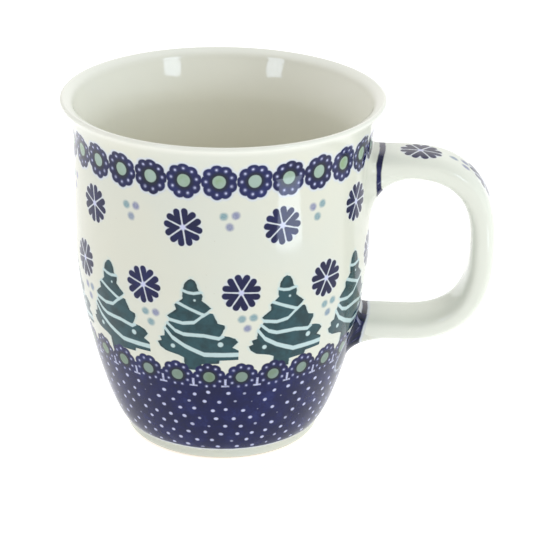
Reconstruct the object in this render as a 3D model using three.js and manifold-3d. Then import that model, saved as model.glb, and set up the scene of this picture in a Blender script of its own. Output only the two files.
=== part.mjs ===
// Hand-decorated stoneware mug: a turned body with a bellied lower wall and a small foot, and a
// strap handle fixed to it at two slip joints.
// Millimetres, +Z up. The origin is on the resting plane, under the centre of the overall box.
import * as THREE from 'three';
import { mergeVertices } from 'three/addons/utils/BufferGeometryUtils.js';
import Module from 'manifold-3d';

const wasm = await Module();
wasm.setup();

// ---- driving dimensions ----
const HEIGHT = 99.4;           // resting plane to the top of the rim
const RIM_RADIUS = 45;         // outside of the flared rim
const WALL_RADIUS = 41.6;      // outside of the straight upper wall
const WALL_THICKNESS = 4.2;
const REACH = 77;              // mug axis to the outermost point of the handle
const HANDLE_WIDTH = 16.7;     // across the strap
const HANDLE_THICKNESS = 7.2;  // through the strap

// ---- body ----
const LIP_ROUND = 0.8;         // radius of the rim's outer edge
const LIP_ANGLE = 36;          // degrees below level where the wall runs into that edge
const LIP_SLOPE = 22;          // degrees that the rim's top falls towards the inside
const LIP_TOP_WIDTH = 2.6;     // how far the top keeps that slope before it turns down
const BROW = { radius: 41, depth: 3, lean: 25, ease: 1.5 };  // end of the turn down, below the rim
const FLARE_HEIGHT = 12;       // length of wall over which the rim flares out
const INNER_FLARE_HEIGHT = 15; // the same on the inside, measured down from the rim
const FLARE_EASE = 1.6;        // how gently the wall starts to flare
const INNER_EASE = { brow: 3.2, wall: 4.5 };  // control lengths of the flare's inside
const BELLY_TOP = 0.583 * HEIGHT;
const BELLY_SHOULDER = 0.62;   // height of the belly's upper control point, over BELLY_TOP
const BELLY_FOOT = { out: 0.26, up: 1.13 };  // lower control point, over the wall's overhang and the foot
const FOOT_RADIUS = 27.9;
const FOOT_HEIGHT = 3;         // the foot's own upright side
const FOOT_EDGE = 1.6;         // rounding of the foot's lower edge
const FOOT_RING_WIDTH = 4;     // flat ring that the mug stands on
const RECESS_DEPTH = 2.6;      // hollow under the base, inside the standing ring
const RECESS_SLOPE = 1.6;
const FLOOR_HEIGHT = 8.5;      // inside floor above the resting plane
const FLOOR_FLAT = 0.36;       // flat part of the inside floor, over the inner wall radius
const INSIDE_SHOULDER = 0.55;  // control point of the inside belly on the wall, over BELLY_TOP
const INSIDE_CORNER = 0.85;    // control point of the inside belly on the floor, over the wall radius

// ---- handle ----
const HANDLE_TOP = 81.6;       // centreline of the upper arm
const HANDLE_BOTTOM = 32.8;    // centreline of the lower arm
const ARM_END = 50.8;          // where the straight arms run into the bow
const BOW_POWER = 2.58;        // superellipse power of the bow, squarer than an ellipse
const SECTION_POWER = 3;       // superellipse power of the strap's section
const ARM_START = 30;          // inside the body, before the end is scribed to the wall
const ARM_SHARE = 0.15;        // share of the centreline's parameter that each arm takes

// ---- slip joints ----
const GAP = 0.3;               // between neighbouring solids
const SLIP_THICKNESS = 1.4;    // from the wall to the handle's scribed end
const COLLAR_LENGTH = { above: 5, below: 12 };  // how far a joint runs out along the arm
const COLLAR_SKIN = 0.75;      // joint's thickness where it runs out on the arm
const COLLAR_POWER = 2;        // how sharply the collar sweeps out to the wall
const COLLAR_LIMIT = 1.2;      // most that the sweep grows where the wall curves away
const UPPER_FLARE = { above: 1.2, side: 2.6, below: 7.5 };
const LOWER_FLARE = { above: 1.8, side: 2.6, below: 2.6 };

// ---- facets ----
const TURN_SEGMENTS = 64;
const CURVE_STEPS = 8;
const ARC_STEP = 18;           // degrees between the corners of a round edge
const HANDLE_STEPS = 48;
const SECTION_STEPS = 20;
const COLLAR_STEPS = 14;

const MUG_AXIS_X = (RIM_RADIUS - REACH) / 2;

// ---- materials ----
const glaze = { color: 0xeceee2, roughness: 0.12, metalness: 0 };
const bodyMaterial = new THREE.MeshStandardMaterial(glaze);
const handleMaterial = new THREE.MeshStandardMaterial(glaze);
const jointMaterial = new THREE.MeshStandardMaterial({ color: 0x35386e, roughness: 0.14, metalness: 0 });

// ---- solids ----
function closedMesh(geometry) {
  const bare = geometry.clone();
  bare.deleteAttribute('normal');
  bare.deleteAttribute('uv');
  const merged = mergeVertices(bare, 1e-4);
  const index = merged.index.array;
  const kept = [];
  for (let i = 0; i < index.length; i += 3) {
    const [a, b, c] = [index[i], index[i + 1], index[i + 2]];
    if (a !== b && b !== c && c !== a) kept.push(a, b, c);
  }
  merged.setIndex(kept);
  return merged;
}

function solid(geometry) {
  const merged = closedMesh(geometry);
  return new wasm.Manifold(new wasm.Mesh({
    numProp: 3,
    vertProperties: Float32Array.from(merged.attributes.position.array),
    triVerts: Uint32Array.from(merged.index.array),
  }));
}

function geometryOf(manifold) {
  const mesh = manifold.getMesh();
  const geometry = new THREE.BufferGeometry();
  geometry.setAttribute('position', new THREE.BufferAttribute(mesh.vertProperties, 3));
  geometry.setIndex(new THREE.BufferAttribute(mesh.triVerts, 1));
  return geometry;
}

function turned(points) {
  return new THREE.LatheGeometry(points, TURN_SEGMENTS).rotateX(Math.PI / 2);
}

function named(name, geometry, material) {
  geometry.computeVertexNormals();
  const mesh = new THREE.Mesh(geometry, material);
  mesh.name = name;
  return mesh;
}

// ---- body profile ----
// The outside from the foot's edge up to the lip, pushed outwards by `grow`.
function outsideWall(path, grow) {
  const wall = WALL_RADIUS + grow;
  const foot = FOOT_RADIUS + grow;
  const angle = THREE.MathUtils.degToRad(LIP_ANGLE);
  const lipCentre = new THREE.Vector2(RIM_RADIUS - LIP_ROUND, HEIGHT - LIP_ROUND);
  const lipReach = LIP_ROUND + grow;
  const meet = new THREE.Vector2(
    lipCentre.x + lipReach * Math.cos(angle),
    lipCentre.y - lipReach * Math.sin(angle),
  );
  const flareStart = HEIGHT - FLARE_HEIGHT;
  const flareLean = FLARE_HEIGHT / 4;
  path.lineTo(foot, FOOT_HEIGHT);
  path.bezierCurveTo(
    foot + BELLY_FOOT.out * (WALL_RADIUS - FOOT_RADIUS), BELLY_FOOT.up * FOOT_HEIGHT,
    wall, BELLY_SHOULDER * BELLY_TOP,
    wall, BELLY_TOP,
  );
  path.lineTo(wall, flareStart);
  path.bezierCurveTo(
    wall, flareStart + FLARE_EASE * flareLean,
    meet.x - flareLean * Math.sin(angle), meet.y - flareLean * Math.cos(angle),
    meet.x, meet.y,
  );
  return { lipCentre, angle };
}

function bodyGeometry() {
  const innerWall = WALL_RADIUS - WALL_THICKNESS;
  const recessRadius = FOOT_RADIUS - FOOT_EDGE - FOOT_RING_WIDTH;
  const profile = new THREE.Path();
  profile.moveTo(0, RECESS_DEPTH);
  profile.lineTo(recessRadius - RECESS_SLOPE, RECESS_DEPTH);
  profile.lineTo(recessRadius, 0);
  profile.lineTo(FOOT_RADIUS - FOOT_EDGE, 0);
  profile.absarc(FOOT_RADIUS - FOOT_EDGE, FOOT_EDGE, FOOT_EDGE, -Math.PI / 2, 0, false);
  const { lipCentre, angle } = outsideWall(profile, 0);
  const slope = THREE.MathUtils.degToRad(LIP_SLOPE);
  profile.absarc(lipCentre.x, lipCentre.y, LIP_ROUND, -angle, Math.PI / 2 + slope, false);

  const lipTop = profile.currentPoint.clone();
  const lean = THREE.MathUtils.degToRad(BROW.lean);
  const brow = new THREE.Vector2(BROW.radius, HEIGHT - BROW.depth);
  const innerFlareStart = HEIGHT - INNER_FLARE_HEIGHT;
  profile.bezierCurveTo(
    lipTop.x - LIP_TOP_WIDTH * Math.cos(slope), lipTop.y - LIP_TOP_WIDTH * Math.sin(slope),
    brow.x + BROW.ease * Math.sin(lean), brow.y + BROW.ease * Math.cos(lean),
    brow.x, brow.y,
  );
  profile.bezierCurveTo(
    brow.x - INNER_EASE.brow * Math.sin(lean), brow.y - INNER_EASE.brow * Math.cos(lean),
    innerWall, innerFlareStart + INNER_EASE.wall,
    innerWall, innerFlareStart,
  );
  profile.lineTo(innerWall, BELLY_TOP);
  profile.bezierCurveTo(
    innerWall, INSIDE_SHOULDER * BELLY_TOP,
    INSIDE_CORNER * innerWall, FLOOR_HEIGHT,
    FLOOR_FLAT * innerWall, FLOOR_HEIGHT,
  );
  profile.lineTo(0, FLOOR_HEIGHT);
  return turned(facetPoints(profile));
}

// Points of a path, with more steps on long curves than on small round edges.
function facetPoints(path) {
  const points = [];
  for (const curve of path.curves) {
    const steps = curve.isLineCurve ? 1 : curve.isEllipseCurve ? arcSteps(curve) : CURVE_STEPS;
    for (const point of curve.getPoints(steps)) {
      const last = points.at(-1);
      if (!last || last.distanceTo(point) > 1e-4) points.push(point);
    }
  }
  return points;
}

function arcSteps(arc) {
  return Math.round(THREE.MathUtils.radToDeg(Math.abs(arc.aEndAngle - arc.aStartAngle)) / ARC_STEP);
}

// The body's outside with no hollow, grown by `grow`: what a neighbour is cut back from.
function bodyEnvelope(grow) {
  const profile = new THREE.Path();
  profile.moveTo(0, -grow);
  profile.lineTo(FOOT_RADIUS + grow, -grow);
  outsideWall(profile, grow);
  profile.lineTo(profile.currentPoint.x, HEIGHT + grow);
  profile.lineTo(0, HEIGHT + grow);
  return solid(turned(facetPoints(profile)));
}

// ---- handle ----
// Centreline: out along the upper arm, round the bow, back along the lower arm.
class HandleLine extends THREE.Curve {
  getPoint(t, target = new THREE.Vector3()) {
    const middle = (HANDLE_TOP + HANDLE_BOTTOM) / 2;
    const half = (HANDLE_TOP - HANDLE_BOTTOM) / 2;
    const bow = REACH - HANDLE_THICKNESS / 2 - ARM_END;
    if (t < ARM_SHARE || t > 1 - ARM_SHARE) {
      const x = THREE.MathUtils.lerp(ARM_START, ARM_END, Math.min(t, 1 - t) / ARM_SHARE);
      return target.set(x, 0, t < ARM_SHARE ? HANDLE_TOP : HANDLE_BOTTOM);
    }
    const angle = Math.PI * (0.5 - (t - ARM_SHARE) / (1 - 2 * ARM_SHARE));
    const x = ARM_END + bow * Math.pow(Math.cos(angle), 2 / BOW_POWER);
    const z = middle + half * Math.sign(angle) * Math.pow(Math.abs(Math.sin(angle)), 2 / BOW_POWER);
    return target.set(x, 0, z);
  }
}

// Outline of the strap's section, its thickness along the shape's X and its width along Y.
function strapSection(grow) {
  const outline = [];
  for (let i = 0; i < SECTION_STEPS; i++) {
    const angle = 2 * Math.PI * i / SECTION_STEPS;
    const [c, s] = [Math.cos(angle), Math.sin(angle)];
    outline.push(new THREE.Vector2(
      (HANDLE_THICKNESS / 2 + grow) * Math.sign(c) * Math.pow(Math.abs(c), 2 / SECTION_POWER),
      (HANDLE_WIDTH / 2 + grow) * Math.sign(s) * Math.pow(Math.abs(s), 2 / SECTION_POWER),
    ));
  }
  return new THREE.Shape(outline);
}

function strap(grow) {
  const geometry = new THREE.ExtrudeGeometry(strapSection(grow), {
    steps: HANDLE_STEPS,
    extrudePath: new HandleLine(),
  });
  return solid(geometry);
}

// ---- slip joints ----
// A ring of slip round one end of the handle, swept out to the wall and longest under the arm, with
// a pad behind the handle's end. `height` is the arm's centreline and `wallX` the wall's radius there.
function collar(height, wallX, flare) {
  const geometry = new THREE.ExtrudeGeometry(strapSection(COLLAR_SKIN), {
    depth: 1,
    steps: COLLAR_STEPS,
    bevelEnabled: false,
  });
  const halfThickness = HANDLE_THICKNESS / 2 + COLLAR_SKIN;
  const halfWidth = HANDLE_WIDTH / 2 + COLLAR_SKIN;
  const position = geometry.attributes.position;
  for (let i = 0; i < position.count; i++) {
    const up = position.getX(i);
    const side = position.getY(i);
    const lift = (up / halfThickness + 1) / 2;
    const length = THREE.MathUtils.lerp(COLLAR_LENGTH.below, COLLAR_LENGTH.above, lift);
    const end = wallX + length;
    const x = THREE.MathUtils.lerp(ARM_START, end, position.getZ(i));
    const sweep = Math.pow(Math.min((end - x) / length, COLLAR_LIMIT), COLLAR_POWER);
    const spread = up > 0 ? flare.above : flare.below;
    position.setXYZ(
      i,
      x,
      -side * (1 + flare.side * sweep / halfWidth),
      height + up * (1 + spread * sweep / halfThickness),
    );
  }
  return solid(geometry);
}

function jointGeometry(height, wallX, flare) {
  const arm = strap(GAP).subtract(bodyEnvelope(SLIP_THICKNESS - GAP));
  return geometryOf(collar(height, wallX, flare).subtract(bodyEnvelope(GAP)).subtract(arm));
}

// Outer radius of the wall at a height, read off the body's own profile.
function wallRadiusAt(height) {
  const profile = new THREE.Path();
  profile.moveTo(FOOT_RADIUS, 0);
  outsideWall(profile, 0);
  const points = profile.getPoints(CURVE_STEPS * 4);
  const above = points.findIndex((point) => point.y >= height);
  const [low, high] = [points[above - 1], points[above]];
  return THREE.MathUtils.lerp(low.x, high.x, (height - low.y) / (high.y - low.y));
}

// ---- assembly ----
const mug = new THREE.Group();
mug.name = 'stoneware_mug';
mug.position.x = MUG_AXIS_X;
mug.add(named('mug_body', closedMesh(bodyGeometry()), bodyMaterial));
mug.add(named('handle', geometryOf(strap(0).subtract(bodyEnvelope(SLIP_THICKNESS))), handleMaterial));
mug.add(named(
  'upper_handle_joint',
  jointGeometry(HANDLE_TOP, wallRadiusAt(HANDLE_TOP), UPPER_FLARE),
  jointMaterial,
));
mug.add(named(
  'lower_handle_joint',
  jointGeometry(HANDLE_BOTTOM, wallRadiusAt(HANDLE_BOTTOM), LOWER_FLARE),
  jointMaterial,
));

export default mug;
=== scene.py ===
import math

import bpy
import numpy as np
from mathutils import Matrix, Vector


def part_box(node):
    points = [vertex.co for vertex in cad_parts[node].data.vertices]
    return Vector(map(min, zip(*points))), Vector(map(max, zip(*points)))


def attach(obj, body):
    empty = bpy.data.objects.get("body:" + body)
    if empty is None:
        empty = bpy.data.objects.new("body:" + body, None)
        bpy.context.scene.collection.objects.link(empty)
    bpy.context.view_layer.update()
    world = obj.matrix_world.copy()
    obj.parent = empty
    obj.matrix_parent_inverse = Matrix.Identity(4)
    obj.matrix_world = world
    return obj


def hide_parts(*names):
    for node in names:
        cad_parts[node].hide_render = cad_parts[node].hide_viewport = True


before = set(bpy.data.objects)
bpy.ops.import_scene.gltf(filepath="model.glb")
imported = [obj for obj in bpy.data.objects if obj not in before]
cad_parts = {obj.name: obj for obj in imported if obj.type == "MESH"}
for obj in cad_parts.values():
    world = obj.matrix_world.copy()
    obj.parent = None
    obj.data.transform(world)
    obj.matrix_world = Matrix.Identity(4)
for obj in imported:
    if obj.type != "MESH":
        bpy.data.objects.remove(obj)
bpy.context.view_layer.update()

MM = 0.001
MM_PER_METRE = 1000


# ---------------------------------------------------------------- driving dimensions
body_low, body_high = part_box("mug_body")
handle_low, handle_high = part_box("handle")

AXIS_X = (body_low.x + body_high.x) / 2        # the mug's own axis
HEIGHT = body_high.z
RIM_RADIUS = (body_high.x - body_low.x) / 2
REACH = handle_high.x - AXIS_X                 # mug axis to the handle's outermost point
HANDLE_WIDTH = handle_high.y - handle_low.y

WALL_RADIUS = 41.6 * MM
WALL_THICKNESS = 4.2 * MM
LIP_ROUND = 0.8 * MM
LIP_ANGLE = math.radians(36)                   # below level, where the wall runs into the rim's edge
LIP_SLOPE = math.radians(22)                   # the rim's top falls this much towards the inside
LIP_TOP_WIDTH = 2.6 * MM
BROW_RADIUS = 41 * MM                          # where the rim's top has turned down into the cup
BROW_HEIGHT = HEIGHT - 3 * MM
BROW_LEAN = math.radians(25)
BROW_EASE = 1.5 * MM
FLARE_HEIGHT = 12 * MM                         # of wall over which the rim flares out
INNER_FLARE_HEIGHT = 15 * MM                   # the same on the inside
FLARE_EASE = 1.6                               # how gently the wall starts to flare
INNER_EASE = (3.2 * MM, 4.5 * MM)              # control lengths at the brow and on the inner wall
BELLY_TOP = 0.583 * HEIGHT
BELLY_SHOULDER = 0.62                          # upper control point's height, over BELLY_TOP
BELLY_FOOT = (0.26, 1.13)                      # share of the overhang out, share of the foot up
FOOT_RADIUS = 27.9 * MM
FOOT_HEIGHT = 3 * MM
FOOT_EDGE = 1.6 * MM
FOOT_RING_WIDTH = 4 * MM
RECESS_DEPTH = 2.6 * MM
RECESS_SLOPE = 1.6 * MM
FLOOR_HEIGHT = 8.5 * MM
FLOOR_FLAT = 0.36                              # flat part of the floor, over the inner radius
INSIDE_SHOULDER = 0.55                         # control points of the inside belly
INSIDE_CORNER = 0.85

HANDLE_THICKNESS = 7.2 * MM
HANDLE_TOP = handle_high.z - HANDLE_THICKNESS / 2
HANDLE_BOTTOM = handle_low.z + HANDLE_THICKNESS / 2
ARM_START = 39 * MM                            # inside the wall, from the mug's axis
ARM_END = 50.8 * MM
BOW_POWER = 2.58                               # superellipse power of the strap's bow
SECTION_POWER = 3                              # and of its section

OVAL, THREE_SIDED = 0.0009, 0.0005             # how far the body is out of round, over its radius
RIM_SWAY = 0.10 * MM                           # how far the rim waves up and down
RIM_SPARE = 0.05 * MM                          # most that it stands above the CAD's rim
JOINT_SINK = 0.07 * MM                         # how deep a joint's edges are sunk in wall and arm
JOINT_CORE = (0.9 * MM, 1.2 * MM)              # its hidden inner edge: back from the wall, into the arm


# ---------------------------------------------------------------- outlines
def line(start, end, steps):
    return [tuple(a + (b - a) * i / steps for a, b in zip(start, end)) for i in range(steps + 1)]


def arc(centre, radius, start, end, steps):
    """Points on an arc, its angles in radians anticlockwise from the outward direction."""
    angles = [start + (end - start) * i / steps for i in range(steps + 1)]
    return [(centre[0] + radius * math.cos(a), centre[1] + radius * math.sin(a)) for a in angles]


def bezier(p0, p1, p2, p3, steps):
    points = []
    for i in range(steps + 1):
        t = i / steps
        weights = ((1 - t) ** 3, 3 * (1 - t) ** 2 * t, 3 * (1 - t) * t * t, t ** 3)
        points.append(tuple(sum(w * p[k] for w, p in zip(weights, (p0, p1, p2, p3))) for k in (0, 1)))
    return points


def joined(*stretches):
    """One outline from stretches that start where the last one ended."""
    points = [stretches[0][0]]
    for stretch in stretches:
        points += [p for p in stretch if math.dist(p, points[-1]) > 1e-6]
    return points


def body_outline():
    """Radius and height from the middle of the base, out under the foot, up the outside, over the
    lip and down the inside to the middle of the floor. Also the stretch that is the outside wall."""
    inner = WALL_RADIUS - WALL_THICKNESS
    recess = FOOT_RADIUS - FOOT_EDGE - FOOT_RING_WIDTH
    under = joined(
        line((0, RECESS_DEPTH), (recess - RECESS_SLOPE * 1.6, RECESS_DEPTH), 24),
        bezier((recess - RECESS_SLOPE * 1.6, RECESS_DEPTH), (recess - RECESS_SLOPE * 0.7, RECESS_DEPTH),
               (recess - RECESS_SLOPE * 0.5, 0.3 * MM), (recess, 0), 14),
        line((recess, 0), (FOOT_RADIUS - FOOT_EDGE, 0), 8),
    )
    lip_centre = (RIM_RADIUS - LIP_ROUND, HEIGHT - LIP_ROUND)
    lip = arc(lip_centre, LIP_ROUND, -LIP_ANGLE, math.pi / 2 + LIP_SLOPE, 20)
    lean = FLARE_HEIGHT / 4
    tangent = (lean * math.sin(LIP_ANGLE), lean * math.cos(LIP_ANGLE))
    flare_start = HEIGHT - FLARE_HEIGHT
    outside = joined(
        arc((FOOT_RADIUS - FOOT_EDGE, FOOT_EDGE), FOOT_EDGE, -math.pi / 2, 0, 10),
        line((FOOT_RADIUS, FOOT_EDGE), (FOOT_RADIUS, FOOT_HEIGHT), 4),
        bezier((FOOT_RADIUS, FOOT_HEIGHT),
               (FOOT_RADIUS + BELLY_FOOT[0] * (WALL_RADIUS - FOOT_RADIUS), BELLY_FOOT[1] * FOOT_HEIGHT),
               (WALL_RADIUS, BELLY_SHOULDER * BELLY_TOP), (WALL_RADIUS, BELLY_TOP), 70),
        line((WALL_RADIUS, BELLY_TOP), (WALL_RADIUS, flare_start), 34),
        bezier((WALL_RADIUS, flare_start), (WALL_RADIUS, flare_start + FLARE_EASE * lean),
               (lip[0][0] - tangent[0], lip[0][1] - tangent[1]), lip[0], 22),
    )
    top, brow = lip[-1], (BROW_RADIUS, BROW_HEIGHT)
    lean_in, lean_down = math.sin(BROW_LEAN), math.cos(BROW_LEAN)
    inner_start = HEIGHT - INNER_FLARE_HEIGHT
    slope_end = (top[0] - LIP_TOP_WIDTH * math.cos(LIP_SLOPE),
                 top[1] - LIP_TOP_WIDTH * math.sin(LIP_SLOPE))
    inside = joined(
        bezier(top, slope_end,
               (brow[0] + BROW_EASE * lean_in, brow[1] + BROW_EASE * lean_down), brow, 24),
        bezier(brow, (brow[0] - INNER_EASE[0] * lean_in, brow[1] - INNER_EASE[0] * lean_down),
               (inner, inner_start + INNER_EASE[1]), (inner, inner_start), 24),
        line((inner, inner_start), (inner, BELLY_TOP), 26),
        bezier((inner, BELLY_TOP), (inner, INSIDE_SHOULDER * BELLY_TOP),
               (INSIDE_CORNER * inner, FLOOR_HEIGHT), (FLOOR_FLAT * inner, FLOOR_HEIGHT), 56),
        line((FLOOR_FLAT * inner, FLOOR_HEIGHT), (0, FLOOR_HEIGHT), 14),
    )
    return joined(under, outside, lip, inside), outside


OUTLINE, OUTSIDE = body_outline()


def wall_radius(height):
    radii, heights = zip(*OUTSIDE)
    return float(np.interp(height, heights, radii))


def run_of(points):
    """Distance along an outline to each of its points."""
    steps = [math.dist(a, b) for a, b in zip(points, points[1:])]
    return np.concatenate([[0], np.cumsum(steps)])


OUTSIDE_START = float(run_of(OUTLINE)[OUTLINE.index(OUTSIDE[0])])


def run_at(height):
    """Distance along the body's outline, from the middle of the base, to a height on the outside."""
    heights = [z for _, z in OUTSIDE]
    return OUTSIDE_START + float(np.interp(height, heights, run_of(OUTSIDE)))


# ---------------------------------------------------------------- meshes
def mesh_piece(name, points, faces, attributes=()):
    mesh = bpy.data.meshes.new(name)
    mesh.from_pydata([tuple(p) for p in points], [], faces)
    mesh.validate()
    for attribute, values in attributes:
        layer = mesh.attributes.new(attribute, "FLOAT", "POINT")
        layer.data.foreach_set("value", np.asarray(values, np.float32))
    mesh.shade_smooth()
    piece = bpy.data.objects.new(name, mesh)
    bpy.context.scene.collection.objects.link(piece)
    return piece


def ring_faces(rows, columns, first=0, close_rows=False):
    """Quads between rows of points that each close on themselves."""
    faces = []
    for i in range(rows if close_rows else rows - 1):
        low = first + i * columns
        high = first + ((i + 1) % rows) * columns
        faces += [(low + j, low + (j + 1) % columns, high + (j + 1) % columns, high + j)
                  for j in range(columns)]
    return faces


def body_piece(name, turns=256):
    """The body as a closed turned skin, a little out of round, as a hand-finished one is."""
    rings = OUTLINE[1:-1]
    angles = np.arange(turns) * 2 * math.pi / turns
    out_of_round = 1 + OVAL * np.cos(2 * angles + 0.7) + THREE_SIDED * np.cos(3 * angles + 2.1)
    points = []
    for radius, height in rings:
        rim_sway = RIM_SWAY * (height / HEIGHT) ** 6 * np.cos(2 * angles + 1.3)
        points.append(np.stack([AXIS_X + radius * out_of_round * np.cos(angles),
                                radius * out_of_round * np.sin(angles),
                                np.minimum(height + rim_sway, HEIGHT + RIM_SPARE)], -1))
    points = np.concatenate(points).tolist()
    below, above = len(points), len(points) + 1
    points += [(AXIS_X, 0, OUTLINE[0][1]), (AXIS_X, 0, OUTLINE[-1][1])]
    faces = ring_faces(len(rings), turns)
    last = (len(rings) - 1) * turns
    faces += [(below, (j + 1) % turns, j) for j in range(turns)]
    faces += [(above, last + j, last + (j + 1) % turns) for j in range(turns)]
    run = run_of(OUTLINE)
    run = np.concatenate([np.repeat(run[1:-1], turns), [run[0], run[-1]]])
    return mesh_piece(name, points, faces, [("run", run)])


def superellipse(angle, a, b, power):
    """A point of the superellipse with half axes `a` and `b`."""
    c, s = math.cos(angle), math.sin(angle)
    return (math.copysign(a * abs(c) ** (2 / power), c), math.copysign(b * abs(s) ** (2 / power), s))


def handle_line(step=0.6 * MM):
    """The strap's centreline in the plane of the handle, evenly spaced: out along the upper arm,
    round the bow and back along the lower arm."""
    middle = (HANDLE_TOP + HANDLE_BOTTOM) / 2
    half = (HANDLE_TOP - HANDLE_BOTTOM) / 2
    bow = REACH - HANDLE_THICKNESS / 2 - ARM_END
    angles = np.linspace(math.pi / 2, -math.pi / 2, 1601)
    bend = [superellipse(a, bow, half, BOW_POWER) for a in angles]
    rough = [(ARM_START, HANDLE_TOP)]
    rough += [(ARM_END + x, middle + z) for x, z in bend]
    rough += [(ARM_START, HANDLE_BOTTOM)]
    run = run_of(rough)
    even = np.linspace(0, run[-1], round(run[-1] / step) + 1)
    x, z = (np.interp(even, run, [p[k] for p in rough]) for k in (0, 1))
    return np.stack([x, z], -1), even


def strap_section(columns):
    """The strap's section as pairs of outward and sideways distance from its centreline."""
    angles = np.arange(columns) * 2 * math.pi / columns
    return [superellipse(a, HANDLE_THICKNESS / 2, HANDLE_WIDTH / 2, SECTION_POWER) for a in angles]


def handle_piece(name, columns=80):
    centre, run = handle_line()
    ahead = np.gradient(centre, axis=0)
    ahead /= np.linalg.norm(ahead, axis=1)[:, None]
    outward = np.stack([-ahead[:, 1], ahead[:, 0]], -1)
    section = strap_section(columns)
    points, along, out = [], [], []
    for (x, z), (nx, nz), s in zip(centre, outward, run):
        for thick, wide in section:
            points.append((AXIS_X + x + nx * thick, -wide, z + nz * thick))
            along.append(s)
            out.append(thick)
    rows = len(centre)
    faces = ring_faces(rows, columns)
    ends = [(ARM_START, HANDLE_TOP), (ARM_START, HANDLE_BOTTOM)]
    start, end = len(points), len(points) + 1
    points += [(AXIS_X + x, 0, z) for x, z in ends]
    along += [run[0], run[-1]]
    out += [0, 0]
    last = (rows - 1) * columns
    faces += [(start, (j + 1) % columns, j) for j in range(columns)]
    faces += [(end, last + j, last + (j + 1) % columns) for j in range(columns)]
    return mesh_piece(name, points, faces, [("along", along), ("out", out)])


def blend_of(normal, above, side, below):
    """A length that goes from one value above the arm to others at its sides and below it."""
    up, sideways = normal
    vertical = above if up > 0 else below
    return vertical * up * up + side * sideways * sideways


def on_body(y, z):
    """The point of the outside wall, from the mug's axis, on the handle's side."""
    return Vector((math.sqrt(wall_radius(z) ** 2 - y * y), y, z))


def joint_piece(name, height, on_arm, on_wall, columns=120, steps=18):
    """A smooth fillet of slip round the handle's root. It leaves the arm and meets the wall along
    their own surfaces, with its edges sunk a little into both, and closes inside them."""
    core_back, core_deep = JOINT_CORE
    half_thick, half_wide = HANDLE_THICKNESS / 2, HANDLE_WIDTH / 2
    rows = [[] for _ in range(steps + 2)]
    for j in range(columns):
        up, wide = superellipse(2 * math.pi * j / columns, half_thick, half_wide, SECTION_POWER)
        slope_up = math.copysign(abs(up / half_thick) ** (SECTION_POWER - 1) / half_thick, up)
        slope_wide = math.copysign(abs(wide / half_wide) ** (SECTION_POWER - 1) / half_wide, wide)
        size = math.hypot(slope_up, slope_wide)
        normal = (slope_up / size, slope_wide / size)
        arm_length = blend_of(normal, *on_arm)
        wall_length = blend_of(normal, *on_wall)
        corner = on_body(wide, height + up)
        arm = corner + Vector((arm_length, 0, 0))
        wall = on_body(wide + wall_length * normal[1], height + up + wall_length * normal[0])
        into_arm = Vector((0, -normal[1], -normal[0]))
        into_wall = Vector((-wall.x, -wall.y, 0)).normalized()
        for i in range(steps + 1):
            t = i / steps
            point = (1 - t) ** 2 * arm + 2 * t * (1 - t) * corner + t * t * wall
            point += JOINT_SINK * (into_arm * (1 - t) ** 6 + into_wall * t ** 6)
            rows[i].append(point)
        rows[-1].append(corner + into_arm * core_deep - Vector((core_back, 0, 0)))
    points = [(AXIS_X + p.x, p.y, p.z) for row in rows for p in row]
    faces = ring_faces(len(rows), columns, close_rows=True)
    return mesh_piece(name, points, faces)


def flip_if_inside_out(piece):
    """Turns a closed piece's faces outwards."""
    mesh = piece.data
    mesh.calc_loop_triangles()
    volume = 0
    for triangle in mesh.loop_triangles:
        a, b, c = (mesh.vertices[i].co for i in triangle.vertices)
        volume += a.dot(b.cross(c))
    if volume < 0:
        mesh.flip_normals()


# ---------------------------------------------------------------- painting with numbers
class Field:
    """A number or colour that varies over a surface, with ordinary arithmetic on it."""

    def __init__(self, paint, socket):
        self.paint = paint
        self.socket = socket

    def __add__(self, other):
        return self.paint.maths("ADD", self, other)

    def __sub__(self, other):
        return self.paint.maths("SUBTRACT", self, other)

    def __rsub__(self, other):
        return self.paint.maths("SUBTRACT", other, self)

    def __mul__(self, other):
        return self.paint.maths("MULTIPLY", self, other)

    def __truediv__(self, other):
        return self.paint.maths("DIVIDE", self, other)

    def __abs__(self):
        return self.paint.maths("ABSOLUTE", self)

    def at_least(self, other):
        return self.paint.maths("MAXIMUM", self, other)

    def at_most(self, other):
        return self.paint.maths("MINIMUM", self, other)

    def wrap(self, span):
        """How far the value is past the nearest whole multiple of `span`."""
        return self.paint.maths("WRAP", self, span / 2, -span / 2)


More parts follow.
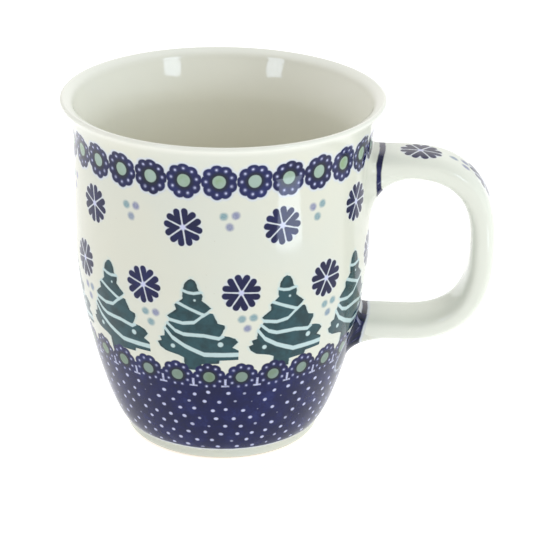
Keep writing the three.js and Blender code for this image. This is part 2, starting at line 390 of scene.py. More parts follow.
class Paint:
    """One material, and the means to build fields for it."""

    def __init__(self, name):
        self.material = bpy.data.materials.new(name)
        self.material.use_nodes = True
        self.tree = self.material.node_tree
        self.tree.nodes.clear()
        output = self.node("ShaderNodeOutputMaterial")
        self.shader = self.node("ShaderNodeBsdfPrincipled")
        self.tree.links.new(self.shader.outputs["BSDF"], output.inputs["Surface"])
        place = self.node("ShaderNodeTexCoord")
        self.place = Field(self, place.outputs["Object"])
        split = self.node("ShaderNodeSeparateXYZ")
        self.feed(split.inputs[0], self.place)
        # In millimetres, from the mug's axis and its resting plane.
        self.x = (Field(self, split.outputs[0]) - AXIS_X) * MM_PER_METRE
        self.y = Field(self, split.outputs[1]) * MM_PER_METRE
        self.z = Field(self, split.outputs[2]) * MM_PER_METRE

    def node(self, kind, **settings):
        node = self.tree.nodes.new(kind)
        for key, value in settings.items():
            setattr(node, key, value)
        return node

    def feed(self, socket, value):
        if isinstance(value, Field):
            self.tree.links.new(value.socket, socket)
        else:
            socket.default_value = value

    def maths(self, operation, *values):
        node = self.node("ShaderNodeMath", operation=operation)
        for socket, value in zip(node.inputs, values):
            self.feed(socket, value)
        return Field(self, node.outputs[0])

    def attribute(self, name):
        return Field(self, self.node("ShaderNodeAttribute", attribute_name=name).outputs["Fac"])

    def length(self, *parts):
        node = self.node("ShaderNodeVectorMath", operation="LENGTH")
        self.feed(node.inputs[0], self.vector(*parts))
        return Field(self, node.outputs["Value"])

    def vector(self, *parts):
        node = self.node("ShaderNodeCombineXYZ")
        for socket, part in zip(node.inputs, parts):
            self.feed(socket, part)
        return Field(self, node.outputs[0])

    def ramp(self, value, start, end, low=0.0, high=1.0, smooth=True):
        """`low` before `start`, `high` after `end`, and an even or soft change between."""
        node = self.node("ShaderNodeMapRange", interpolation_type="SMOOTHSTEP" if smooth else "LINEAR")
        for socket, number in zip(node.inputs, (value, start, end, low, high)):
            self.feed(socket, number)
        return Field(self, node.outputs[0])

    def inside(self, distance, soft=0.12):
        """1 where a signed distance is below nought, with an edge `soft` wide on either side."""
        return self.ramp(distance, -soft, soft, 1.0, 0.0)

    def noise(self, size, detail=2.0, where=None, roughness=0.5):
        """Smooth noise between 0 and 1 with features about `size` millimetres across."""
        node = self.node("ShaderNodeTexNoise", noise_dimensions="3D")
        self.feed(node.inputs["Vector"], where or self.place)
        node.inputs["Scale"].default_value = 1 / size if where else MM_PER_METRE / size
        node.inputs["Detail"].default_value = detail
        node.inputs["Roughness"].default_value = roughness
        return Field(self, node.outputs[0])

    def chance(self, *seeds):
        """Three steady random numbers, from 0 to 1, for each set of whole numbers."""
        node = self.node("ShaderNodeTexWhiteNoise", noise_dimensions="3D")
        self.feed(node.inputs["Vector"], self.vector(*seeds))
        split = self.node("ShaderNodeSeparateColor")
        self.tree.links.new(node.outputs["Color"], split.inputs[0])
        return [Field(self, output) for output in split.outputs]

    def mix(self, under, over, amount):
        node = self.node("ShaderNodeMix", data_type="RGBA")
        self.feed(node.inputs[0], amount)
        self.feed(node.inputs[6], under)
        self.feed(node.inputs[7], over)
        return Field(self, node.outputs[2])

    def curve(self, value, points):
        """A broken line through (value, result) points."""
        node = self.node("ShaderNodeFloatCurve")
        low_x, high_x = points[0][0], points[-1][0]
        results = [p[1] for p in points]
        low_y, high_y = min(results), max(results)
        line_points = node.mapping.curves[0].points
        while len(line_points) < len(points):
            line_points.new(0.5, 0.5)
        for spot, (x, y) in zip(line_points, points):
            spot.location = ((x - low_x) / (high_x - low_x), (y - low_y) / (high_y - low_y))
            spot.handle_type = "VECTOR"
        node.mapping.update()
        self.feed(node.inputs["Value"], self.ramp(value, low_x, high_x, smooth=False))
        return Field(self, node.outputs[0]) * (high_y - low_y) + low_y

    def pick(self, number, values):
        """The value listed for a whole number, counting from 0."""
        node = self.node("ShaderNodeValToRGB")
        node.color_ramp.interpolation = "CONSTANT"
        low, high = min(values), max(values)
        span = (high - low) or 1
        stops = node.color_ramp.elements
        while len(stops) < len(values):
            stops.new(0.5)
        for i, value in enumerate(values):
            stops[i].position = i / len(values)
            grey = (value - low) / span
            stops[i].color = (grey, grey, grey, 1)
        self.feed(node.inputs[0], (number + 0.5) / len(values))
        return Field(self, node.outputs[0]) * span + low


def rgb(red, green, blue):
    """A colour from its 0 to 255 screen values, as linear light."""
    def linear(value):
        value /= 255
        return value / 12.92 if value <= 0.04045 else ((value + 0.055) / 1.055) ** 2.4
    return (linear(red), linear(green), linear(blue), 1)


# ---------------------------------------------------------------- pigments
CREAM = rgb(213, 216, 206)          # the fired clay seen through the clear glaze
CREAM_THIN = rgb(223, 219, 200)     # where the glaze runs thinner, in soft clouds
RIM_PAINTED_LIGHT = rgb(240, 241, 233)   # paler on the rim: painted light, the rim lit brighter from above
CREAM_INSIDE = rgb(238, 238, 227)   # on the inside, near the rim
INSIDE_PAINTED_SHADE = rgb(224, 221, 205)      # painted shade, darker further down on the inside
HANDLE_PAINTED_LIGHT = rgb(229, 232, 222)   # paler over the handle: painted light, standing for the brighter light the handle catches
SPECK = rgb(150, 140, 112)          # iron specks in the clay
BARE_CLAY = rgb(205, 186, 158)
COBALT = rgb(9, 17, 74)
COBALT_DEEP = rgb(5, 10, 54)
COBALT_THIN = rgb(40, 52, 118)
HALO = rgb(200, 208, 226)           # cobalt bled into the glaze round a stamp
LILAC = rgb(196, 200, 232)
LILAC_DIM = rgb(132, 138, 184)
NIGHT_GREEN = rgb(18, 28, 40)
LEAF = rgb(132, 160, 118)
LEAF_PALE = rgb(156, 178, 168)
FIR = rgb(40, 76, 84)
FIR_DEEP = rgb(24, 46, 50)
GARLAND = rgb(186, 208, 210)
DOT_TEAL = rgb(94, 140, 156)
DOT_GREY = rgb(108, 115, 162)


# ---------------------------------------------------------------- decoration, in millimetres
PETALS = 9
PETAL_RING, PETAL_RADIUS = 2.85, 1.68    # from the flower's middle to a petal's, and its radius
PETAL_DOT_RING = 3.2
FLOWER_CORE = 3.3                        # radius filled with cobalt behind the petals
FLOWER_MIDDLE = 1.6                      # radius of the leaf-green middle
FLOWER_STRETCH = 1.05                    # the flowers stand a little taller than they are wide

SPOKES = 6
FINGER_REACH, FINGER_RADIUS = 4.4, 0.92  # a rounded finger lies along both sides of a spoke
FINGER_OFFSET = 1.12                     # from the spoke to the middle of the finger
NOTCH_START, NOTCH_SHARPNESS = 3.95, 2.8
FLAKE_SQUEEZE = 1.025                    # and the snowflakes a little narrower

THREE_DOTS = ((-1.55, 1.15), (1.6, 1.4), (0.0, -1.85))

FIR_SIZE = 1.075                         # scale of the fir tree's numbers below
# The fir tree's outline on either side of its trunk: depth below the tip, half width.
FIR_RIGHT = ((0, 0.0), (0.4, 0.85), (1.4, 1.5), (3.0, 1.9), (3.4, 2.6), (4.6, 2.9), (5.7, 2.7),
             (7.7, 5.1), (9.0, 3.8), (9.2, 5.5), (10.4, 6.0), (12.0, 6.8), (12.5, 8.4), (13.4, 8.5),
             (14.9, 7.8), (15.5, 7.4), (15.8, 9.6), (16.5, 11.2), (17.5, 12.0), (19.1, 10.5),
             (20.1, 12.2), (20.9, 12.6), (22.3, 13.0), (22.9, 12.4), (23.1, 7.2), (24.1, 7.0),
             (24.4, 2.3), (26.4, 2.3))
FIR_LEFT = ((0, 0.0), (0.4, 0.95), (1.6, 1.75), (3.0, 2.05), (4.2, 2.3), (5.5, 2.15), (6.5, 3.2),
            (7.4, 4.3), (8.8, 4.0), (10.8, 6.4), (12.0, 5.6), (12.9, 6.4), (14.7, 7.3), (16.9, 7.5),
            (17.3, 8.8), (18.5, 8.4), (19.0, 9.6), (20.4, 8.9), (21.4, 7.4), (22.2, 3.8), (22.8, 2.5),
            (26.4, 2.4))
FIR_FOOT = FIR_RIGHT[-1][0]
# Each garland: points across and below the tip, and its thickness.
FIR_GARLANDS = (
    (((-2.7, 3.1), (-0.9, 3.75), (0.7, 3.9), (3.1, 3.35)), 0.8),
    (((-4.3, 6.4), (-0.9, 8.0), (2.6, 9.5), (3.4, 9.7)), 0.9),
    (((-6.8, 11.3), (-5.7, 11.9), (-2.3, 12.5), (0.7, 12.0), (2.7, 10.2), (5.5, 8.1)), 0.95),
    (((-7.0, 12.5), (-4.4, 14.9), (-2.2, 15.7), (3.1, 15.7), (7.0, 16.4), (8.4, 15.5)), 1.05),
    (((-8.2, 13.2), (-5.3, 17.1), (-2.0, 19.2), (0.7, 20.4), (3.1, 21.4), (13.4, 21.3)), 1.3),
)
FIR_BAUBLES = ((0.9, 5.75, 0.3), (7.4, 18.2, 0.72), (-5.3, 19.6, 0.6))

BAND_TOP, BAND_BOTTOM = 31.9, 4.2        # heights of the cobalt band's edges
BAND_FIRST_ROW = 25.4                    # height of its first row of dots
BAND_ROW_PITCH = 3.05
BAND_DOT_PITCH = 4.45

HANDLE_SIDE = 30                         # the brushwork keeps to where x, from the axis, is more
UPPER_LINE_ENDS = (72.8, 87)             # heights
UPPER_LINE_HALF = 0.6                    # half its thickness
DAUB_START = (6.6, 36.6)                 # the daub's upper end: out from the handle's plane, height
DAUB_FALL = (5.4, -10.6)                 # and from there to its lower end
DAUB_LENGTH = math.hypot(*DAUB_FALL)
DAUB_WALL = (24.0, 38.0)                 # heights between which the wall behind it counts as straight


def height_at(run):
    """Height on the outside wall, in millimetres, at a distance along the body's outline."""
    return float(np.interp(run * MM, run_of(OUTSIDE) + OUTSIDE_START, [z for _, z in OUTSIDE])) / MM


def band_radius(row):
    """Radius of the belly, in millimetres, at a row of dots, counting down from the first."""
    run = run_at(BAND_FIRST_ROW * MM) / MM - row * BAND_ROW_PITCH
    return wall_radius(height_at(run) * MM) / MM


BAND_RADII = tuple((row, band_radius(row)) for row in range(-2, 9))


class Decor:
    """Painted and stamped decoration, laid on one colour over another."""

    def __init__(self, paint):
        self.paint = paint
        self.waver = (paint.noise(1.6, 3.0) - 0.5) * 0.34
        self.grain = paint.noise(0.55, 2.0)
        self.wash = paint.noise(5.0, 3.0, roughness=0.6)
        self.colour = self.bare_glaze()

    def bare_glaze(self):
        paint = self.paint
        cloud = paint.ramp(paint.noise(26, 2.0), 0.3, 0.7, 0.0, 0.35)
        colour = paint.mix(CREAM, CREAM_THIN, cloud)
        speck = paint.ramp(paint.noise(1.1, 1.0), 0.77, 0.83, 0.0, 0.22)
        return paint.mix(colour, SPECK, speck)

    def lay(self, colour, amount):
        self.colour = self.paint.mix(self.colour, colour, amount)

    def cobalt(self):
        """Brushed or stamped cobalt, thin in places."""
        paint = self.paint
        colour = paint.mix(COBALT_DEEP, COBALT, paint.ramp(self.wash, 0.3, 0.6, 0.35, 1.0))
        thin = paint.ramp(self.wash + self.grain * 0.3, 0.66, 0.92, 0.0, 0.35)
        return paint.mix(colour, COBALT_THIN, thin)

    def polar(self, across, up, spin=0.0):
        """Distance from a stamp's middle, and its turn clockwise from straight up, in radians."""
        paint = self.paint
        return paint.length(across, up), paint.maths("ARCTAN2", across, up) - spin

    def flowers(self, across, up, index, seed, halo=0.75, size=1.0, shade=0.0):
        """Round petals, each with a pale dot, round a dark ring and a leaf-green middle."""
        paint = self.paint
        spin, wear, tint = paint.chance(index, seed, 0)
        distance, turn = self.polar(across, up * (1 / FLOWER_STRETCH), spin * 0.7)
        distance = distance * (1 / size)
        fold = turn.wrap(2 * math.pi / PETALS)
        sideways = distance * paint.maths("SINE", fold)
        outwards = distance * paint.maths("COSINE", fold)
        petal = paint.length(sideways, outwards - PETAL_RING) - PETAL_RADIUS
        shape = petal.at_most(distance - FLOWER_CORE) + self.waver * 0.55
        if halo:
            self.lay(HALO, paint.ramp(shape, 0.0, 0.85, halo, 0.0))
        body = paint.mix(self.cobalt(), COBALT_THIN, paint.ramp(wear, 0.7, 1.0, 0.0, 0.3))
        self.lay(body, paint.inside(shape, 0.16))
        self.lay(NIGHT_GREEN, paint.ramp(distance + self.waver, 1.8, 2.9, 0.85, 0.0))
        dot = paint.length(sideways, outwards - PETAL_DOT_RING) + self.waver * 0.5
        self.lay(LILAC_DIM, paint.ramp(dot, 0.2, 0.75, 0.4, 0.0))
        self.lay(LILAC, paint.inside(dot - 0.26, 0.15) * paint.ramp(self.grain, 0.3, 0.6, 0.35, 0.95))
        middle = distance - FLOWER_MIDDLE + self.waver * 0.4
        leaf = paint.mix(LEAF, LEAF_PALE, paint.ramp(self.wash + tint * 0.3, 0.35, 0.8))
        leaf = paint.mix(leaf, LEAF_PALE, paint.ramp(distance, 0.8, 1.6, 0.0, 0.6))
        leaf = paint.mix(leaf, FIR_DEEP, shade)
        self.lay(leaf, paint.inside(middle, 0.16))

    def snowflakes(self, across, up, spin, seed, index):
        """Pale spokes, with a cobalt petal that has a notched end between each pair. `spin` is in
        degrees."""
        paint = self.paint
        distance, turn = self.polar(across * FLAKE_SQUEEZE, up, spin * (math.pi / 180))
        half = math.pi / SPOKES
        fold = abs((turn - half).wrap(2 * half))
        sideways = distance * paint.maths("SINE", fold)
        outwards = distance * paint.maths("COSINE", fold)
        off_spoke = outwards * math.sin(half) - sideways * math.cos(half)
        up_spoke = outwards * math.cos(half) + sideways * math.sin(half)
        past_end = (up_spoke - FINGER_REACH).at_least(0)
        finger = paint.length(past_end, off_spoke - FINGER_OFFSET) - FINGER_RADIUS
        notch = (outwards - abs(sideways) * NOTCH_SHARPNESS - NOTCH_START) * 0.34
        shape = finger.at_least(notch).at_least(distance * -1 + 0.5) + self.waver * 0.5
        self.lay(HALO, paint.ramp(distance + self.waver * 2, 4.7, 5.9, 0.6, 0.0))
        depth = paint.chance(index, seed, 3)[0]
        ink = paint.mix(self.cobalt(), COBALT_DEEP, paint.ramp(depth, 0.2, 1.0, 0.15, 0.6))
        self.lay(ink, paint.inside(shape, 0.14))
        self.lay(LILAC, paint.inside(distance - 0.8 - self.waver, 0.3) * 0.9)

    def three_dots(self, across, up, index, seed):
        """Two soft sponge dots above one, each in its own watery grey-blue."""
        paint = self.paint
        chances = paint.chance(index, seed, 5)
        for (x, y), chance in zip(THREE_DOTS, chances):
            dot = paint.length(across - x, up - y) + self.waver * 1.2
            ink = paint.mix(DOT_TEAL, DOT_GREY, paint.ramp(chance, 0.3, 0.6))
            self.lay(ink, paint.ramp(dot, 0.6, 1.55, 0.95, 0.0) * (self.grain * 0.5 + 0.55))

    def firs(self, across, up):
        """A fir tree hung with pale garlands. `up` is nought at its tip and negative below."""
        paint = self.paint
        across = across / FIR_SIZE
        depth = up / -FIR_SIZE
        leafy = across + (paint.noise(1.2, 2.0) - 0.5) * 0.5
        right = paint.curve(depth, FIR_RIGHT)
        left = paint.curve(depth, FIR_LEFT)
        edge = (leafy - right).at_least(leafy * -1 - left)
        edge = edge.at_least(depth * -1).at_least(depth - FIR_FOOT) + self.waver * 0.4
        self.lay(GARLAND, paint.inside(edge - 0.55, 0.5) * 0.5)
        needles = paint.mix(FIR, FIR_DEEP, paint.ramp(self.wash, 0.32, 0.6, 0.65, 0.0))
        tips = paint.ramp(edge, -1.3, -0.1) * paint.ramp(paint.noise(4.5, 1.0), 0.45, 0.6)
        needles = paint.mix(needles, FIR_DEEP, tips * 0.85)
        self.lay(needles, paint.inside(edge, 0.13))
        for hang, width in FIR_GARLANDS:
            sag = paint.curve(across, hang)
            off = abs(depth - sag) - width / 2 + self.waver * 0.5
            garland = off.at_least(across - hang[-1][0]).at_least(across * -1 + hang[0][0])
            self.lay(GARLAND, paint.inside(garland, 0.16) * paint.inside(edge - 0.4, 0.2))
        for x, y, size in FIR_BAUBLES:
            bauble = paint.length(across - x, depth - y) - size
            self.lay(GARLAND, paint.inside(bauble, 0.18))

    def arm_rings(self):
        """Cobalt brushed round the handle's roots."""
        wobble = (self.paint.noise(3.0, 2.0) - 0.5) * 0.9
        self.upper_line(wobble)
        self.lower_daub(wobble)

    def upper_line(self, wobble):
        """A thin line at the upper root, thicker at its lower end and on top."""
        paint = self.paint
        low_end, high_end = UPPER_LINE_ENDS
        off_wall = paint.length(paint.x, paint.y) - WALL_RADIUS / MM
        middle = paint.ramp(paint.z, 73.0, 82.0, 3.1, 2.75)
        thicker = paint.ramp(paint.z, 73.4, 76.0, 0.34, 0.0) + paint.ramp(paint.z, 80.0, 84.0, 0.0, 0.24)
        stroke = abs(off_wall - middle + wobble * 0.4) - UPPER_LINE_HALF - thicker
        stroke = stroke.at_least(low_end - paint.z + abs(off_wall - middle) * 0.4)
        under_arm = (77.5 - paint.z).at_most(1.0 - abs(paint.y))
        stroke = stroke.at_least(under_arm)
        stroke = stroke.at_least(paint.x * -1 + HANDLE_SIDE).at_least(paint.z - high_end)
        self.lay(self.cobalt(), paint.inside(stroke, 0.2))

    def lower_daub(self, wobble):
        """A loaded, streaky daub that falls away on both sides of the lower root, joined over it; its pale
        streaks near the wall are a painted highlight.
        """
        paint = self.paint
        side = abs(paint.y)
        low, high = DAUB_WALL
        wall = paint.ramp(paint.z, low, high, wall_radius(low * MM) / MM, wall_radius(high * MM) / MM,
                          smooth=False)
        off_wall = paint.length(paint.x, paint.y) - wall
        slant_y, slant_z = (part / DAUB_LENGTH for part in DAUB_FALL)
        from_side = side - DAUB_START[0]
        from_height = paint.z - DAUB_START[1]
        along = from_side * slant_y + from_height * slant_z
        aside = from_side * slant_z - from_height * slant_y
        past_end = (along - DAUB_LENGTH).at_least(along * -1).at_least(0)
        thick = paint.ramp(along, 0.0, 6.0, 2.3, 3.6)
        daub = paint.length(past_end, aside) - thick + wobble
        daub = daub.at_least(off_wall - 2.8 + wobble * 0.6)
        over = abs(off_wall - 1.75) - 0.85 + wobble * 0.5
        over = over.at_least(35.2 - paint.z).at_least(paint.z - 41).at_least(side - 9)
        daub = daub.at_most(over).at_least(paint.x * -1 + HANDLE_SIDE)
        self.lay(HALO, paint.ramp(daub, 0.0, 1.1, 0.7, 0.0))
        strokes = paint.noise(1.0, 2.0, where=paint.vector(along * 0.16, aside * 0.9, 0.0))
        ink = paint.mix(self.cobalt(), NIGHT_GREEN, paint.ramp(strokes, 0.4, 0.65, 0.85, 0.0))
        # Pale lilac streaks along the brush strokes, strongest near the wall: a painted highlight on the
        # glossy daub over the joint's root.
        bare = paint.ramp(strokes, 0.56, 0.64) * paint.ramp(abs(along - 3.5), 1.0, 4.5, 0.8, 0.0)
        ink = paint.mix(ink, LILAC, bare * paint.ramp(off_wall, 0.4, 2.4, 1.0, 0.0))
        self.lay(ink, paint.inside(daub, 0.22))


class BodyDecor(Decor):
    """The decoration on the body, in level rows round it."""

    def __init__(self, paint):
        super().__init__(paint)
        self.run = paint.attribute("run") * MM_PER_METRE
        # 0 opposite the handle, positive towards the front, in degrees; it wraps behind the handle.
        self.turn = paint.maths("ARCTAN2", paint.y * -1, paint.x * -1) * (180 / math.pi)

    def row(self, height, pitch, phase, drift=None, first=None, last=None):
        """Across and up, in millimetres, inside each stamp of a level row, and the stamp's number.
        `pitch` and `phase` are degrees of turn, and `drift` is how far each stamp has slipped."""
        paint = self.paint
        place = (self.turn - phase) / pitch
        number = paint.maths("ROUND", place)
        if first is not None:
            number = number.at_least(first).at_most(last)
        count = round(360 / pitch)
        index = number - first if first is not None else paint.maths("FLOORED_MODULO", number, count)
        radius = wall_radius(height) / MM
        across = (place - number) * (math.radians(pitch) * radius)
        up = self.run - run_at(height) / MM
        if drift:
            across = across - paint.pick(index, drift)
        return across, up, index

    def ties(self, across, up, pitch_mm):
        """Pale upside-down T marks between the flowers that stand on the band."""
        paint = self.paint
        between = pitch_mm / 2 - abs(across)
        stem = (between - 0.3).at_least(abs(up + 1.9) - 1.2)
        foot = (between - 1.1).at_least(abs(up + 3.15) - 0.26)
        mark = stem.at_most(foot) + self.waver * 0.7
        self.lay(LILAC, paint.inside(mark, 0.18) * paint.ramp(self.grain, 0.25, 0.6, 0.45, 0.95))

    def band(self, top, bottom):
        """Cobalt up to the flowers, sponged with staggered rows of pale dots."""
        paint = self.paint
        high, low = run_at(top * MM) / MM, run_at(bottom * MM) / MM
        edge = (self.run - high).at_least(low - self.run) + self.waver * 0.9
        self.lay(HALO, paint.inside(edge - 0.5, 0.5) * 0.6)
        self.lay(self.cobalt(), paint.inside(edge, 0.2))
        first_row = run_at(BAND_FIRST_ROW * MM) / MM
        drift = paint.noise(14.0, 1.0) - 0.5
        below = (first_row - self.run) / BAND_ROW_PITCH + drift * 0.5
        row = paint.maths("ROUND", below)
        radius = paint.curve(row, BAND_RADII)
        count = paint.maths("ROUND", radius * (2 * math.pi / BAND_DOT_PITCH))
        row_slip = paint.chance(row, 3, 7)[0]
        place = (self.turn - 90) * count * (1 / 360) + row * 0.5 + row_slip * 0.25 + drift * 0.6
        number = paint.maths("ROUND", place)
        slip, lift, load = paint.chance(paint.maths("FLOORED_MODULO", number, count), row, 7)
        across = (place - number) * BAND_DOT_PITCH - (slip - 0.5) * 1.0
        rise = (below - row) * BAND_ROW_PITCH - (lift - 0.5) * 0.9
        size = paint.ramp(load, 0.0, 0.3, 0.1, 0.46)
        dot = paint.length(across * 0.84, rise * 0.9) - size + self.waver * 0.5
        amount = paint.inside(dot, 0.17) * paint.inside(edge + 0.9, 0.3) * paint.inside(row * -1 - 0.5, 0.1)
        self.lay(LILAC, amount * paint.ramp(load, 0.0, 0.5, 0.55, 0.95))


GLAZE_IOR = 1.36
ORANGE_PEEL, RIPPLE = 0.06, 0.006        # heights of the glaze's two kinds of unevenness


def glaze_surface(paint, colour, bare=None):
    """The clear glaze over a painted colour, glossy but never quite flat; `bare` is unglazed clay."""
    shader = paint.shader
    orange_peel = paint.noise(7.0, 1.0)
    ripple = paint.noise(2.2, 1.0)
    height = orange_peel * ORANGE_PEEL + ripple * RIPPLE
    roughness = paint.ramp(paint.noise(9.0, 2.0), 0.3, 0.7, 0.055, 0.085)
    if bare is not None:
        grit = paint.noise(0.35, 3.0)
        height = height + bare * grit * 0.05
        roughness = roughness + bare * 0.62
        colour = paint.mix(colour, BARE_CLAY, bare)
    bump = paint.node("ShaderNodeBump")
    bump.inputs["Strength"].default_value = 0.5
    bump.inputs["Distance"].default_value = MM
    paint.feed(bump.inputs["Height"], height)
    paint.feed(shader.inputs["Base Color"], colour)
    paint.feed(shader.inputs["Roughness"], roughness)
    paint.tree.links.new(bump.outputs[0], shader.inputs["Normal"])
    shader.inputs["IOR"].default_value = GLAZE_IOR
    return paint.material


FIRS, LOWER_FLOWERS, UPPER_FLOWERS = 10, 27, 28
LOWER_FLOWER_HEIGHT = 31.1 * MM
UPPER_FLAKE_PITCH = 38.65                # degrees


def body_material():
    paint = Paint("glazed_body")
    decor = BodyDecor(paint)

    across, up, index = decor.row(61.4 * MM, pitch=360 / FIRS, phase=11.0)
    decor.firs(across, up)
    decor.band(BAND_TOP, BAND_BOTTOM)
    across, up, index = decor.row(LOWER_FLOWER_HEIGHT, pitch=360 / LOWER_FLOWERS, phase=9.3)
    decor.flowers(across, up, index, 11, halo=0, shade=0.4)
    decor.ties(across, up, wall_radius(LOWER_FLOWER_HEIGHT) / MM * 2 * math.pi / LOWER_FLOWERS)

    across, up, index = decor.row(57.6 * MM, pitch=360 / FIRS, phase=28.9,
                                  drift=(0.2, -0.7, 0.5, 0.0, -0.5, 0.6, -0.2, 0.3, -0.9, 0.4))
    spin = paint.pick(index, (20, 46, 33, 26, 12, 50, 41, 8, 29, 55))
    decor.snowflakes(across, up, spin, 13, index)
    across, up, index = decor.row(48.6 * MM, pitch=360 / FIRS, phase=31.3,
                                  drift=(0.3, -0.5, 0.6, -0.2, 0.4, -0.8, 0.0, 1.0, -0.4, 0.7))
    decor.three_dots(across, up, index, 17)

    # The upper snowflakes and dots run both ways from opposite the handle and stop at its root.
    across, up, index = decor.row(75.9 * MM, UPPER_FLAKE_PITCH, phase=0, first=-4, last=4,
                                  drift=(0.8, -0.6, 0.4, -0.9, 0.6, -0.1, 2.0, 0.7, 0.0))
    spin = paint.pick(index, (14, 40, 25, 6, 33, 54, 51, 47, 30))
    decor.snowflakes(across, up, spin, 19, index)
    across, up, index = decor.row(78.3 * MM, UPPER_FLAKE_PITCH, phase=19.3, first=-4, last=3,
                                  drift=(0.5, -0.8, 0.9, 0.2, -0.4, 0.7, 0.4, -2.6))
    decor.three_dots(across, up, index, 23)

    across, up, index = decor.row(89.1 * MM, pitch=360 / UPPER_FLOWERS, phase=3.3)
    decor.flowers(across, up, index, 29, size=1.08)
    decor.arm_rings()

    past_lip = decor.run - run_at(HEIGHT - 2 * MM) / MM
    # The inside darkens from near the rim down towards the floor: painted shade.
    inside = paint.mix(CREAM_INSIDE, INSIDE_PAINTED_SHADE, paint.ramp(past_lip, 8, 50))
    decor.lay(inside, paint.ramp(past_lip, 3, 6))
    # A paler band over the rim: painted light, where the rim catches more light from above.
    decor.lay(RIM_PAINTED_LIGHT, paint.inside(abs(past_lip - 3.0) - 2.6, 1.6) * 0.8)
    ring_middle = OUTSIDE_START / MM - 1.6
    bare = paint.inside(abs(decor.run - ring_middle) - 2.9 + decor.waver, 0.25)
    return glaze_surface(paint, decor.colour, bare)


def along_at(height):
    """Distance along the strap's centreline to a height on the outer half of its upper bend."""
    centre, even = handle_line()
    middle = (HANDLE_TOP + HANDLE_BOTTOM) / 2
    upper = centre[:, 1] >= middle
    beyond = centre[:, 0] >= ARM_END
    kept = upper & beyond
    return float(np.interp(-height, -centre[kept, 1], even[kept]))


def handle_material():
    """Two snowflakes and a few dots on the outer face of the strap, over the upper bend."""
    paint = Paint("glazed_handle")
    decor = Decor(paint)
    along = paint.attribute("along") * MM_PER_METRE
    outer = paint.inside(paint.attribute("out") * -MM_PER_METRE + 0.4, 0.2)
    # The handle's paler glaze is painted light.
    decor.lay(HANDLE_PAINTED_LIGHT, 1.0)
    plain = decor.colour
    across = paint.y * -1
    first_flake = (54.6 * MM - ARM_START) / MM
    second_flake = along_at(73.6 * MM) / MM
    decor.snowflakes(across - 0.8, along - first_flake, 62.0, 31, 1.0)
    decor.three_dots(across - 0.4, along - first_flake - 10.2, 2.0, 37)
    decor.snowflakes(across + 2.6, along - second_flake, 20.0, 41, 3.0)
    decor.colour = paint.mix(plain, decor.colour, outer)
    decor.arm_rings()
    return glaze_surface(paint, decor.colour)


def joint_material(name):
    """Glaze that turns from the wall's colour to the handle's paler one, which is painted light, as it
    leaves the wall.
    """
    paint = Paint(name)
    decor = Decor(paint)
    off_wall = paint.length(paint.x, paint.y) - WALL_RADIUS / MM
    # Towards the handle's paler glaze: painted light.
    decor.lay(HANDLE_PAINTED_LIGHT, paint.ramp(off_wall, 0.0, 6.0))
    decor.arm_rings()
    return glaze_surface(paint, decor.colour)


# ---------------------------------------------------------------- studio
FLOOR_RADIUS = 4.0
DAYLIGHT = (0.82, 0.95, 1.14)            # the windows are a little bluer than the room
WINDOW_TURNS = (("right_window", 50), ("left_window", -40))    # degrees, as the next and the glare's
WINDOW_RISE = 33
WINDOW_SIZE = (0.26, 0.32)
WINDOW_RADIANCE = 9.5
WINDOW_DISTANCE = 1.2                    # from the middle of the upper wall
GLARE_TURN = 51.5                        # the bright table top below the right-hand window
GLARE_SIZE = (0.072, 0.085)
GLARE_RADIANCE = 5.4
GLARE_DISTANCE = 0.243

CAMERA_TURN, CAMERA_RISE, CAMERA_ROLL = 3.1, 23.5, 0.9         # degrees
CAMERA_DISTANCE = 0.56
CAMERA_LENS = 128
CAMERA_AIM = Vector((AXIS_X + 14.95 * MM, 0.15 * MM, 45.4 * MM))


def floor_piece(columns=96):
    """A round, plain, faintly glowing floor."""
    angles = np.arange(columns) * 2 * math.pi / columns
    points = [(FLOOR_RADIUS * math.cos(a), FLOOR_RADIUS * math.sin(a), 0) for a in angles]
    floor = mesh_piece("studio_floor", points, [tuple(range(columns))])
    material = bpy.data.materials.new("white_floor")
    material.use_nodes = True
    shader = material.node_tree.nodes["Principled BSDF"]
    shader.inputs["Base Color"].default_value = (0.9, 0.9, 0.9, 1)
    shader.inputs["Roughness"].default_value = 0.9
    shader.inputs["Specular IOR Level"].default_value = 0.1
    shader.inputs["Emission Color"].default_value = (1, 1, 1, 1)
    shader.inputs["Emission Strength"].default_value = 0.5
    floor.data.materials.append(material)


def lamp_card(name, size, radiance, place, towards, upright):
    """A rectangular light that shows only as a reflection in the glaze. It faces `towards`, with
    its second side along `upright`."""
    light = bpy.data.lights.new(name, "AREA")
    light.shape = "RECTANGLE"
    light.size, light.size_y = size
    light.energy = radiance * math.pi * size[0] * size[1]
    light.color = DAYLIGHT
    lamp = bpy.data.objects.new(name, light)
    back = -towards
    across = upright.cross(back).normalized()
    lamp.matrix_world = Matrix.Translation(place) @ Matrix(
        (across, back.cross(across), back)).transposed().to_4x4()
    lamp.visible_camera = False
    lamp.visible_diffuse = False
    bpy.context.scene.collection.objects.link(lamp)


def around(turn, rise=0.0):
    """A level or raised direction, `turn` degrees round from the front towards the handle."""
    turn, rise = math.radians(turn), math.radians(rise)
    return Vector((math.sin(turn) * math.cos(rise), -math.cos(turn) * math.cos(rise), math.sin(rise)))


WHITE, WARM, COOL = (1.0, 1.0, 1.0), (1.0, 0.97, 0.92), (0.9, 0.98, 1.0)
# The white room's broad glows: where each is centred, its tightness as a power, its strength, its tint.
GLOWS = (
    ((0, 1, 0), 1, 0.3, WHITE),
    ((0, 0, 1), 2, 0.7, WHITE),
    ((0, 0, 1), 8, 0.35, WHITE),
    ((0, 0.9, 0.43), 6, 1.15, WARM),
    ((-0.9, 0.2, 0.35), 5, 1.3, WHITE),
    ((0.85, -0.5, 0.16), 6, 1.2, COOL),
    ((0.98, 0.2, 0), 3, 1.0, COOL),
    ((0.1, -0.9, 0.42), 8, 1.0, WARM),
)


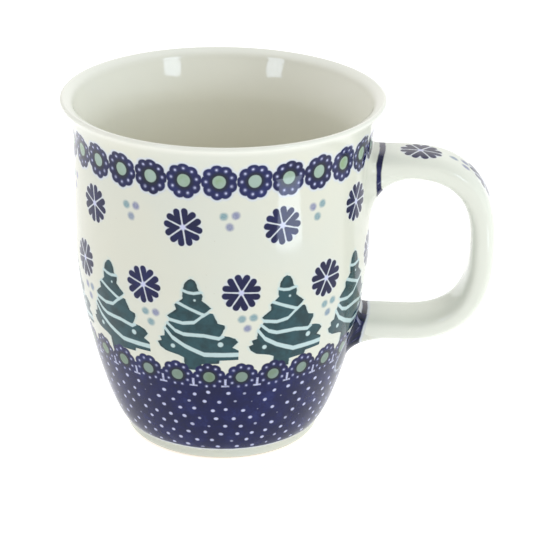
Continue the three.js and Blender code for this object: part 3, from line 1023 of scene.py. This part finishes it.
def room(tree, background):
    """Feeds the sum of the glows to the world's background."""
    place = tree.nodes.new("ShaderNodeTexCoord")
    total = None
    for direction, tightness, strength, tint in GLOWS:
        facing = tree.nodes.new("ShaderNodeVectorMath")
        facing.operation = "DOT_PRODUCT"
        tree.links.new(place.outputs["Generated"], facing.inputs[0])
        facing.inputs[1].default_value = direction
        ahead = tree.nodes.new("ShaderNodeMath")
        ahead.operation = "MAXIMUM"
        tree.links.new(facing.outputs["Value"], ahead.inputs[0])
        ahead.inputs[1].default_value = 0
        glow = tree.nodes.new("ShaderNodeMath")
        glow.operation = "POWER"
        tree.links.new(ahead.outputs[0], glow.inputs[0])
        glow.inputs[1].default_value = tightness
        adding = tree.nodes.new("ShaderNodeVectorMath")
        adding.operation = "MULTIPLY_ADD"
        tree.links.new(glow.outputs[0], adding.inputs[0])
        adding.inputs[1].default_value = [strength * part for part in tint]
        if total is not None:
            tree.links.new(total, adding.inputs[2])
        total = adding.outputs[0]
    tree.links.new(total, background.inputs["Color"])


def studio():
    """The white room, with two windows and a glare that show only in the glaze."""
    world = bpy.data.worlds.new("studio")
    bpy.context.scene.world = world
    world.use_nodes = True
    room(world.node_tree, world.node_tree.nodes["Background"])
    aim = Vector((AXIS_X, 0, 0.8 * HEIGHT))
    above = Vector((0, 0, 1))
    for name, turn in WINDOW_TURNS:
        way = around(turn, WINDOW_RISE)
        lamp_card(name, WINDOW_SIZE, WINDOW_RADIANCE, aim + WINDOW_DISTANCE * way, -way, above)
    way = around(GLARE_TURN)
    place = Vector((AXIS_X, 0, MM)) + GLARE_DISTANCE * way
    lamp_card("table_glare", GLARE_SIZE, GLARE_RADIANCE, place, above, way)


def camera():
    """The photo's viewing angle: a little to the right of square on, looking down at the mug."""
    back = around(CAMERA_TURN, CAMERA_RISE)
    level = around(CAMERA_TURN + 90)
    upright = back.cross(level)
    roll = math.radians(CAMERA_ROLL)
    right = math.cos(roll) * level + math.sin(roll) * upright
    up = math.cos(roll) * upright - math.sin(roll) * level
    data = bpy.data.cameras.new("photo_camera")
    data.lens = CAMERA_LENS
    data.sensor_width = 36
    seen = bpy.data.objects.new("photo_camera", data)
    seen.matrix_world = Matrix.Translation(CAMERA_AIM + CAMERA_DISTANCE * back) @ Matrix(
        (right, up, back)).transposed().to_4x4()
    bpy.context.scene.collection.objects.link(seen)
    bpy.context.scene.camera = seen


# ---------------------------------------------------------------- assembly
camera()
studio()
floor_piece()

body = body_piece("glazed_body")
handle = handle_piece("strap_handle")
# Lengths of each fillet above, beside and below the arm: first along the arm, then along the wall.
upper_joint = joint_piece("upper_slip_joint", HANDLE_TOP,
                          (2.6 * MM, 4.6 * MM, 14 * MM), (1.2 * MM, 2.8 * MM, 16 * MM))
lower_joint = joint_piece("lower_slip_joint", HANDLE_BOTTOM,
                          (3.0 * MM, 4.6 * MM, 14 * MM), (1.8 * MM, 2.8 * MM, 6.5 * MM))

made = (
    (body, body_material(), "mug_body", "glazed_body"),
    (handle, handle_material(), "handle", "glazed_handle"),
    (upper_joint, joint_material("upper_joint_slip"), "upper_handle_joint", "upper_joint_slip"),
    (lower_joint, joint_material("lower_joint_slip"), "lower_handle_joint", "lower_joint_slip"),
)
for piece, material, node, slot in made:
    flip_if_inside_out(piece)
    piece.data.materials.append(material)
    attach(piece, "root")
    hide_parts(node)

bpy.context.scene.view_settings.view_transform = "Standard"
